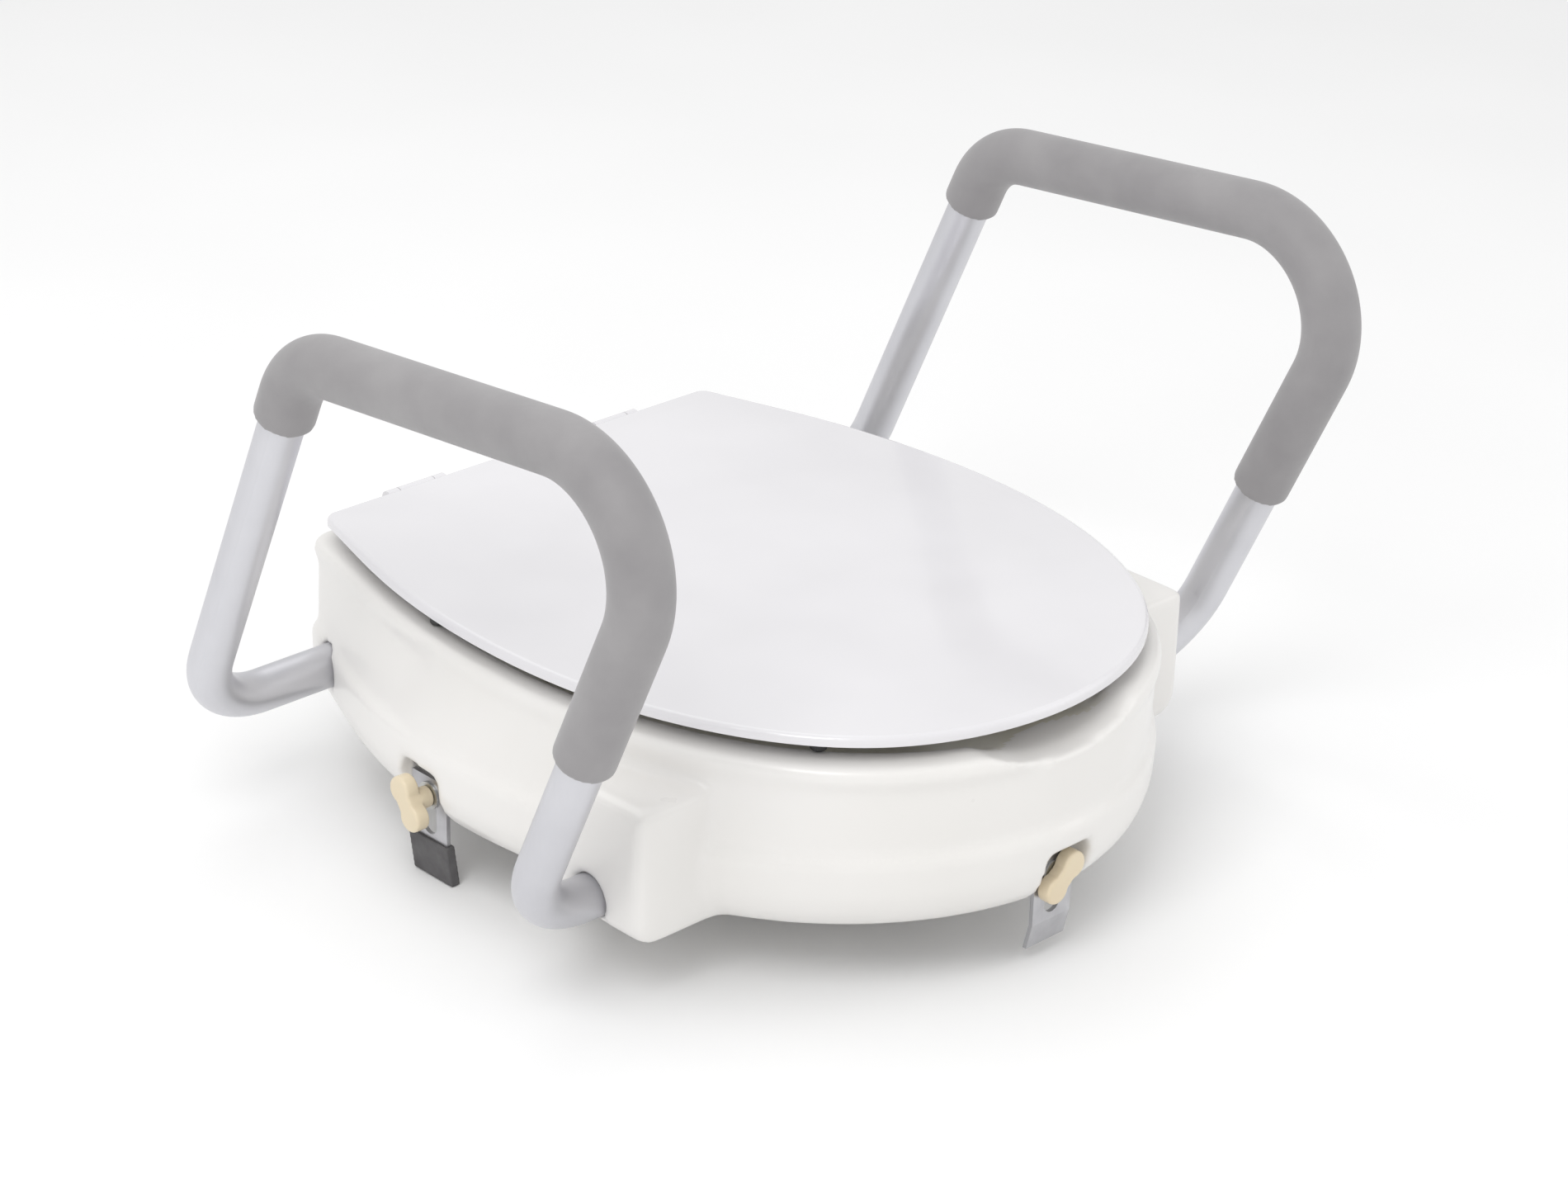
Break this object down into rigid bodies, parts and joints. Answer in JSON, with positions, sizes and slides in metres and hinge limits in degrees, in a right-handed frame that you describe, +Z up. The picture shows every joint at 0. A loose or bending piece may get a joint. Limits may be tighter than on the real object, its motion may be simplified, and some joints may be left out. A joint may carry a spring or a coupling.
{
  "type": "raised toilet seat",
  "caption": "D-shaped raised toilet seat with a hinged lid, two padded armrests and slotted clamps with wing knobs that hold it to the bowl.",
  "frame": {"origin": "middle of the seat opening on the plane of the bowl's rim, where the pads rest", "axes": "+X to the sitter's left, -Y to the front, +Z up"},
  "size_m": [0.5474, 0.46, 0.3518],
  "materials": {
    "riser_plastic": "satin gloss, warm white",
    "lid_plastic": "glossy, cool white",
    "grip_foam": "matte closed-cell foam",
    "tube_aluminium": "satin anodised",
    "plug_plastic": "moulded",
    "bracket_steel": "brushed",
    "zinc_steel": "zinc plated",
    "sleeve_rubber": "matte",
    "pad_rubber": "matte",
    "knob_plastic": "ivory nylon"
  },
  "bodies": {
    "riser": {"riser_body": "riser_plastic", "base_pan": "riser_plastic", "pan_screws": "zinc_steel", "underside_pads": "pad_rubber", "hinge_bases": "lid_plastic", "hinge_screws": "zinc_steel", "hinge_pins": "zinc_steel", "front_clamp_stud": "zinc_steel", "right_clamp_stud": "zinc_steel", "left_clamp_stud": "zinc_steel"},
    "lid": {"lid": "lid_plastic", "lid_bumpers": "pad_rubber"},
    "right_armrest": {"right_arm_tube": "tube_aluminium", "right_arm_grip": "grip_foam", "right_tube_plugs": "plug_plastic"},
    "left_armrest": {"left_arm_tube": "tube_aluminium", "left_arm_grip": "grip_foam", "left_tube_plugs": "plug_plastic"},
    "front_bracket": {"front_clamp_bracket": "bracket_steel"},
    "front_washer": {"front_clamp_washer": "zinc_steel"},
    "front_knob": {"front_wing_knob": "knob_plastic"},
    "right_bracket": {"right_clamp_bracket": "bracket_steel", "right_bracket_sleeve": "sleeve_rubber"},
    "right_washer": {"right_clamp_washer": "zinc_steel"},
    "right_knob": {"right_wing_knob": "knob_plastic"},
    "left_bracket": {"left_clamp_bracket": "bracket_steel", "left_bracket_sleeve": "sleeve_rubber"},
    "left_washer": {"left_clamp_washer": "zinc_steel"},
    "left_knob": {"left_wing_knob": "knob_plastic"}
  },
  "joints": [
    {"name": "lid_hinge", "type": "hinge", "parent": "riser", "child": "lid", "pos_m": [0, 0.205, 0.108], "axis": [-1, 0, 0], "range_deg": [0, 100]},
    {"name": "right_armrest_pull", "type": "slide", "parent": "riser", "child": "right_armrest", "axis": [-1, 0, 0], "range_m": [0, 0.055]},
    {"name": "left_armrest_pull", "type": "slide", "parent": "riser", "child": "left_armrest", "axis": [1, 0, 0], "range_m": [0, 0.055]},
    {"name": "front_bracket_slide", "type": "slide", "parent": "riser", "child": "front_bracket", "axis": [0, 0, 1], "range_m": [0, 0.017]},
    {"name": "front_knob_travel", "type": "slide", "parent": "riser", "child": "front_washer", "axis": [0, -1, 0], "range_m": [0, 0.0025]},
    {"name": "front_knob_turn", "type": "hinge", "parent": "front_washer", "child": "front_knob", "pos_m": [0, -0.247, 0.013], "axis": [0, -1, 0], "range_deg": [0, 720]},
    {"name": "right_bracket_slide", "type": "slide", "parent": "riser", "child": "right_bracket", "axis": [0, 0, 1], "range_m": [0, 0.012]},
    {"name": "right_knob_travel", "type": "slide", "parent": "riser", "child": "right_washer", "axis": [-1, 0, 0], "range_m": [0, 0.0025]},
    {"name": "right_knob_turn", "type": "hinge", "parent": "right_washer", "child": "right_knob", "pos_m": [-0.205, 0.047, 0.013], "axis": [-1, 0, 0], "range_deg": [0, 720]},
    {"name": "left_bracket_slide", "type": "slide", "parent": "riser", "child": "left_bracket", "axis": [0, 0, 1], "range_m": [0, 0.012]},
    {"name": "left_knob_travel", "type": "slide", "parent": "riser", "child": "left_washer", "axis": [1, 0, 0], "range_m": [0, 0.0025]},
    {"name": "left_knob_turn", "type": "hinge", "parent": "left_washer", "child": "left_knob", "pos_m": [0.205, 0.047, 0.013], "axis": [1, 0, 0], "range_deg": [0, 720]}
  ],
  "couplings": [
    {"joint": "front_knob_travel", "follows": "front_knob_turn", "m_per_rad": 0.00019894},
    {"joint": "right_knob_travel", "follows": "right_knob_turn", "m_per_rad": 0.00019894},
    {"joint": "left_knob_travel", "follows": "left_knob_turn", "m_per_rad": 0.00019894}
  ]
}
